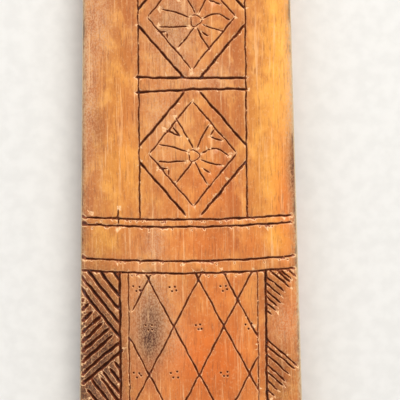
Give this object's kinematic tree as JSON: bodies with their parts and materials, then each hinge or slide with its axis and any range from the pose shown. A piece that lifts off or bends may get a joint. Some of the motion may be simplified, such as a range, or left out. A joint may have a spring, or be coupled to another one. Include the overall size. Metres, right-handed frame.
{
  "type": "wood edge slicker",
  "caption": "Long carved wooden burnishing stick for leather edges, with a domed carved face, hard edge strips, a notched nose and a hanging hole.",
  "frame": {"origin": "under the middle of the tool, on the plane of its flat back", "axes": "+Y along the tool towards the hanging end, +X across it, +Z out of the carved face"},
  "size_m": [0.0492, 0.3, 0.012],
  "materials": {
    "stained_wood": "satin, worn",
    "strip_wood": "polished by use",
    "pin_wood": "satin",
    "nose_wood": "polished by use"
  },
  "bodies": {
    "root": {"carved_board": "stained_wood", "left_edge_strip": "strip_wood", "right_edge_strip": "strip_wood", "strip_pins": "pin_wood", "nose_block": "nose_wood", "nose_pegs": "pin_wood"}
  },
  "joints": []
}
